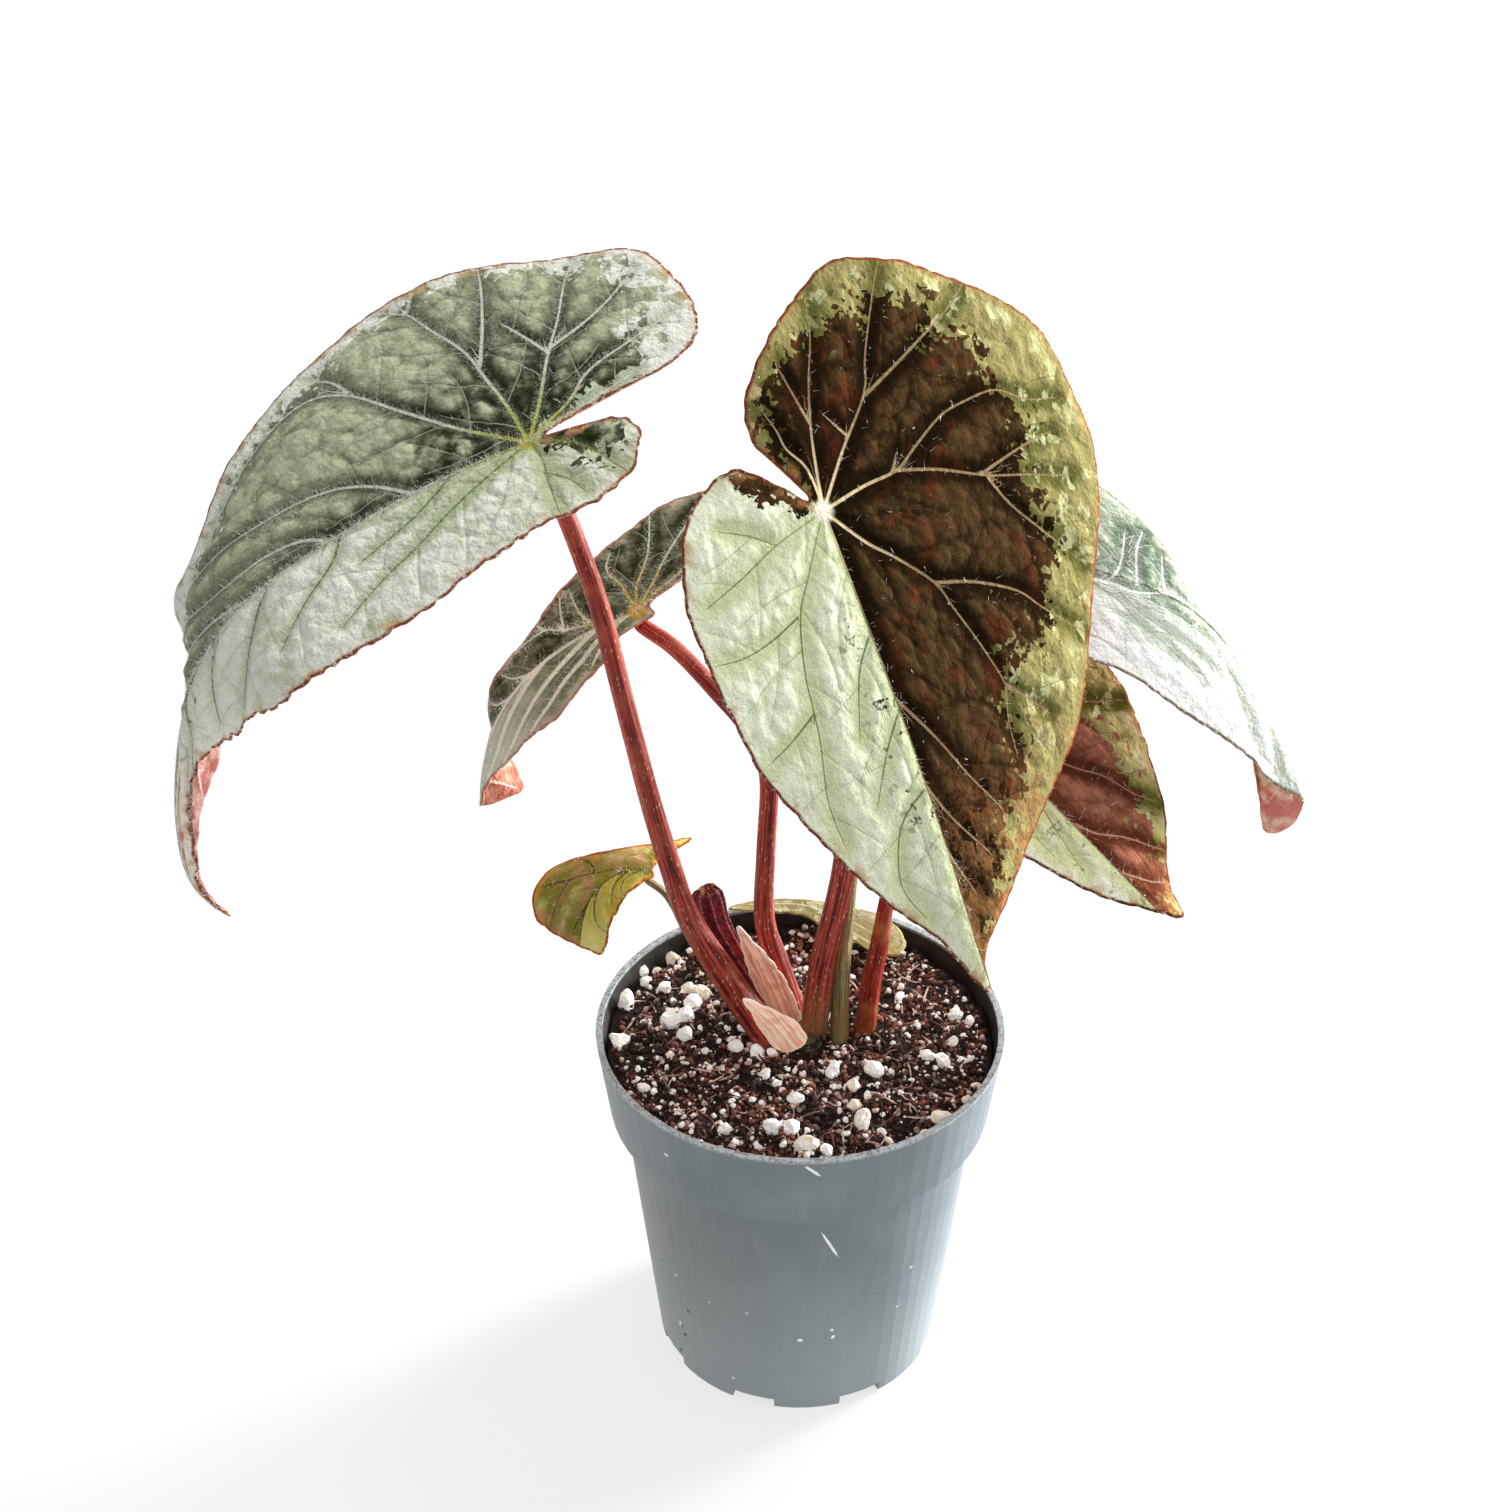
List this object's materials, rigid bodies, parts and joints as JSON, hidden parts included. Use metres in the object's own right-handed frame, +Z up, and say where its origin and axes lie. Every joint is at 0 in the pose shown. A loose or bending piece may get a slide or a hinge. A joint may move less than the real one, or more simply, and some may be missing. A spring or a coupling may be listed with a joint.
{
  "type": "potted begonia",
  "caption": "Begonia with large lopsided heart-shaped leaves on red stalks, rising from the soil of a small round nursery pot.",
  "frame": {"origin": "centre of the flat underside of the pot, on the surface it stands on", "axes": "+Z up along the pot's axis; the front of the plant, where the largest dark leaf leans out, faces -Y; +X is to the viewer's right"},
  "size_m": [0.2123, 0.1151, 0.2309],
  "materials": {
    "pot": "satin",
    "soil": "matte",
    "crown": "matte",
    "red_stalk": "satin",
    "green_stalk": "satin",
    "leaf_left": "satin",
    "leaf_front": "satin",
    "leaf_back_left": "satin",
    "leaf_back_right": "satin",
    "leaf_right": "satin",
    "leaf_small": "satin",
    "leaf_low": "satin",
    "young_leaf": "satin",
    "sheath": "matte"
  },
  "bodies": {
    "root": {"pot": "pot", "soil": "soil", "crown": "crown", "stalk_left": "red_stalk", "stalk_front": "red_stalk", "stalk_back_left": "red_stalk", "stalk_right": "red_stalk", "stalk_back_right": "green_stalk", "stalk_small": "green_stalk", "stalk_low": "green_stalk", "leaf_left": "leaf_left", "leaf_front": "leaf_front", "leaf_back_left": "leaf_back_left", "leaf_back_right": "leaf_back_right", "leaf_right": "leaf_right", "leaf_small": "leaf_small", "leaf_low": "leaf_low", "young_leaf": "young_leaf", "sheath_upright": "sheath", "sheath_low": "sheath"}
  },
  "joints": []
}
